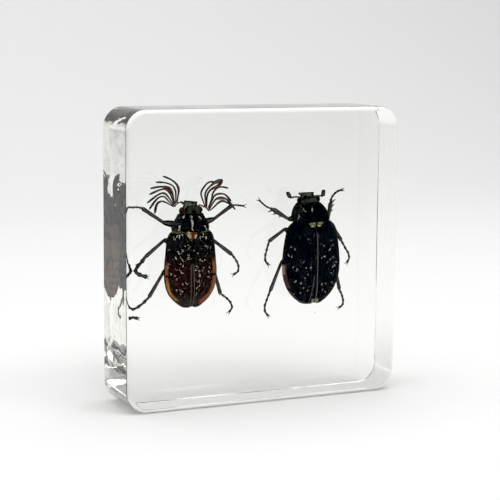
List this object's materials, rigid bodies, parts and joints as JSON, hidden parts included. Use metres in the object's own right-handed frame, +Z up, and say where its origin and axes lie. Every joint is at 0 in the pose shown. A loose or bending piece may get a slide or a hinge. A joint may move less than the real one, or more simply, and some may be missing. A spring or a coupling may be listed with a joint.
{
  "type": "insect in resin block",
  "caption": "Upright square slab of clear cast resin with a male and a female scarab beetle sealed in it side by side; stands on its edge as a display specimen.",
  "frame": {"origin": "middle of the slab's bottom face, which it stands on", "axes": "+X to the right of someone facing the beetles' backs, +Y from the front face to the back face, +Z up"},
  "size_m": [0.075, 0.018, 0.075],
  "materials": {
    "clear_cast_resin": "polished",
    "male_beetle_shell": "satin",
    "female_beetle_shell": "satin"
  },
  "bodies": {
    "root": {"resin_front_half": "clear_cast_resin", "resin_back_half": "clear_cast_resin", "male_beetle": "male_beetle_shell", "female_beetle": "female_beetle_shell"}
  },
  "joints": []
}
